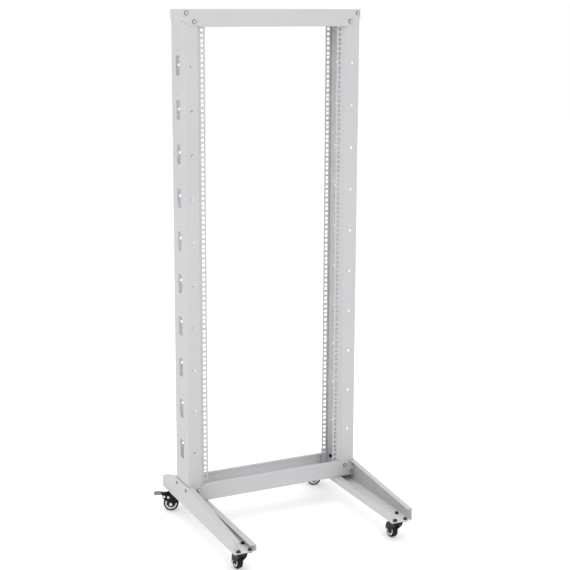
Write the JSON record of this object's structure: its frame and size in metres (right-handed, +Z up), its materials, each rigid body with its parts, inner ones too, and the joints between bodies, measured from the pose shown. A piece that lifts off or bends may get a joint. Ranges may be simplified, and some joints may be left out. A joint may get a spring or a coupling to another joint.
{
  "type": "network server rack",
  "caption": "Open two-post 19-inch rack frame: folded posts with square-hole mounting strips, box beams, tapered channel feet and swivel casters, two of them braked.",
  "frame": {"origin": "on the floor, at the middle of the bounding box", "axes": "+Z up, the front of the rack faces -Y, its left side is at -X"},
  "size_m": [0.6458, 0.584, 1.6218],
  "materials": {
    "powder_coat": "light grey powder coat with a very fine texture",
    "zinc": "bright zinc plating",
    "black_steel": "black coated pressed steel",
    "tread": "matt black tread",
    "rim": "cream moulded plastic",
    "pedal_grey": "dark grey moulded plastic"
  },
  "bodies": {
    "frame": {"left_post": "powder_coat", "right_post": "powder_coat", "left_foot": "powder_coat", "right_foot": "powder_coat", "top_beam": "powder_coat", "bottom_beam": "powder_coat", "top_front_left_outer_screw": "zinc", "top_front_left_inner_screw": "zinc", "top_front_right_outer_screw": "zinc", "top_front_right_inner_screw": "zinc", "top_rear_left_outer_screw": "zinc", "top_rear_left_inner_screw": "zinc", "top_rear_right_outer_screw": "zinc", "top_rear_right_inner_screw": "zinc", "bottom_front_left_outer_screw": "zinc", "bottom_front_left_inner_screw": "zinc", "bottom_front_right_outer_screw": "zinc", "bottom_front_right_inner_screw": "zinc", "bottom_rear_left_outer_screw": "zinc", "bottom_rear_left_inner_screw": "zinc", "bottom_rear_right_outer_screw": "zinc", "bottom_rear_right_inner_screw": "zinc", "left_foot_front_bolt": "zinc", "left_foot_rear_bolt": "zinc", "right_foot_front_bolt": "zinc", "right_foot_rear_bolt": "zinc", "front_left_plate": "black_steel", "front_left_kingpin": "zinc", "front_right_plate": "black_steel", "front_right_kingpin": "zinc", "rear_left_plate": "black_steel", "rear_left_kingpin": "zinc", "rear_right_plate": "black_steel", "rear_right_kingpin": "zinc"},
    "front_left_swivel": {"front_left_fork": "black_steel", "front_left_axle": "zinc", "front_left_axle_nut": "zinc"},
    "front_left_wheel": {"front_left_tyre": "tread", "front_left_rim": "rim"},
    "front_right_swivel": {"front_right_fork": "black_steel", "front_right_axle": "zinc", "front_right_axle_nut": "zinc"},
    "front_right_wheel": {"front_right_tyre": "tread", "front_right_rim": "rim"},
    "rear_left_swivel": {"rear_left_fork": "black_steel", "rear_left_axle": "zinc", "rear_left_axle_nut": "zinc", "rear_left_brake_pin": "zinc"},
    "rear_left_wheel": {"rear_left_tyre": "tread", "rear_left_rim": "rim"},
    "rear_left_brake": {"rear_left_brake_lever": "black_steel", "rear_left_brake_pedal": "pedal_grey"},
    "rear_right_swivel": {"rear_right_fork": "black_steel", "rear_right_axle": "zinc", "rear_right_axle_nut": "zinc", "rear_right_brake_pin": "zinc"},
    "rear_right_wheel": {"rear_right_tyre": "tread", "rear_right_rim": "rim"},
    "rear_right_brake": {"rear_right_brake_lever": "black_steel", "rear_right_brake_pedal": "pedal_grey"}
  },
  "joints": [
    {"name": "front_left_swivel_turn", "type": "hinge", "parent": "frame", "child": "front_left_swivel", "pos_m": [-0.24446, -0.258, 0.061], "axis": [0, 0, 1], "continuous": true},
    {"name": "front_left_wheel_roll", "type": "hinge", "parent": "front_left_swivel", "child": "front_left_wheel", "pos_m": [-0.24446, -0.233, 0.025], "axis": [1, 0, 0], "continuous": true},
    {"name": "front_right_swivel_turn", "type": "hinge", "parent": "frame", "child": "front_right_swivel", "pos_m": [0.28294, -0.258, 0.061], "axis": [0, 0, 1], "continuous": true},
    {"name": "front_right_wheel_roll", "type": "hinge", "parent": "front_right_swivel", "child": "front_right_wheel", "pos_m": [0.28294, -0.233, 0.025], "axis": [1, 0, 0], "continuous": true},
    {"name": "rear_left_swivel_turn", "type": "hinge", "parent": "frame", "child": "rear_left_swivel", "pos_m": [-0.24446, 0.242, 0.061], "axis": [0, 0, 1], "continuous": true},
    {"name": "rear_left_wheel_roll", "type": "hinge", "parent": "rear_left_swivel", "child": "rear_left_wheel", "pos_m": [-0.26712, 0.25257, 0.025], "axis": [0.4226, 0.9063, 0], "continuous": true},
    {"name": "rear_left_brake_press", "type": "hinge", "parent": "rear_left_swivel", "child": "rear_left_brake", "pos_m": [-0.28687, 0.26178, 0.0502], "axis": [-0.4226, -0.9063, 0], "range_deg": [0, 11]},
    {"name": "rear_right_swivel_turn", "type": "hinge", "parent": "frame", "child": "rear_right_swivel", "pos_m": [0.28294, 0.242, 0.061], "axis": [0, 0, 1], "continuous": true},
    {"name": "rear_right_wheel_roll", "type": "hinge", "parent": "rear_right_swivel", "child": "rear_right_wheel", "pos_m": [0.26028, 0.25257, 0.025], "axis": [0.4226, 0.9063, 0], "continuous": true},
    {"name": "rear_right_brake_press", "type": "hinge", "parent": "rear_right_swivel", "child": "rear_right_brake", "pos_m": [0.24053, 0.26178, 0.0502], "axis": [-0.4226, -0.9063, 0], "range_deg": [0, 11]}
  ]
}
